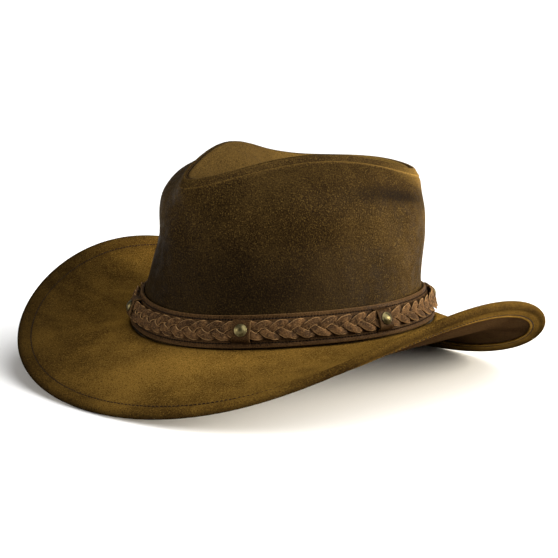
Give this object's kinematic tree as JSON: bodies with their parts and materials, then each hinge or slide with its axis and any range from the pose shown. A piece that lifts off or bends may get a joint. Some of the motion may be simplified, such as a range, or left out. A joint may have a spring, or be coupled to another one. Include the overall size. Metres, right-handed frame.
{
  "type": "cowboy hat",
  "caption": "Leather cowboy hat with a pinched crown, a wired brim curled up at the sides and a braided hatband held by riveted keepers",
  "frame": {"origin": "middle of the hat's footprint on the table it stands on, brim down", "axes": "front of the hat along -Y, wearer's left along +X, up +Z"},
  "size_m": [0.3306, 0.3306, 0.1527],
  "materials": {
    "crown_leather": "oiled nubuck, dark brown",
    "brim_leather": "oiled nubuck, golden olive brown",
    "under_leather": "oiled suede, dark brown",
    "sweat_leather": "smooth lining leather",
    "strap_leather": "dark brown strap leather",
    "lace_suede": "brown suede lace",
    "seam_thread": "tan thread",
    "dark_thread": "dark brown thread",
    "tape": "woven tape",
    "interlining": "stiff felted interlining",
    "steel": "spring wire",
    "reed_plastic": "plastic reed",
    "antique_brass": "antique brass"
  },
  "bodies": {
    "root": {"crown_side_panel": "crown_leather", "crown_tip_panel": "crown_leather", "crown_seam_thread": "seam_thread", "crown_back_tape": "tape", "crown_back_threads": "seam_thread", "brim_top_leather": "brim_leather", "brim_interlining": "interlining", "brim_under_leather": "under_leather", "brim_edge_wire": "steel", "brim_wire_ferrule": "steel", "brim_edge_threads": "dark_thread", "sweatband": "sweat_leather", "sweatband_reed": "reed_plastic", "sweatband_thread": "dark_thread", "hatband_strap": "strap_leather", "hatband_upper_thread": "dark_thread", "hatband_lower_thread": "dark_thread", "braid_strand_1": "lace_suede", "braid_strand_2": "lace_suede", "braid_strand_3": "lace_suede", "rivet_caps": "antique_brass", "rivet_posts": "antique_brass"}
  },
  "joints": []
}
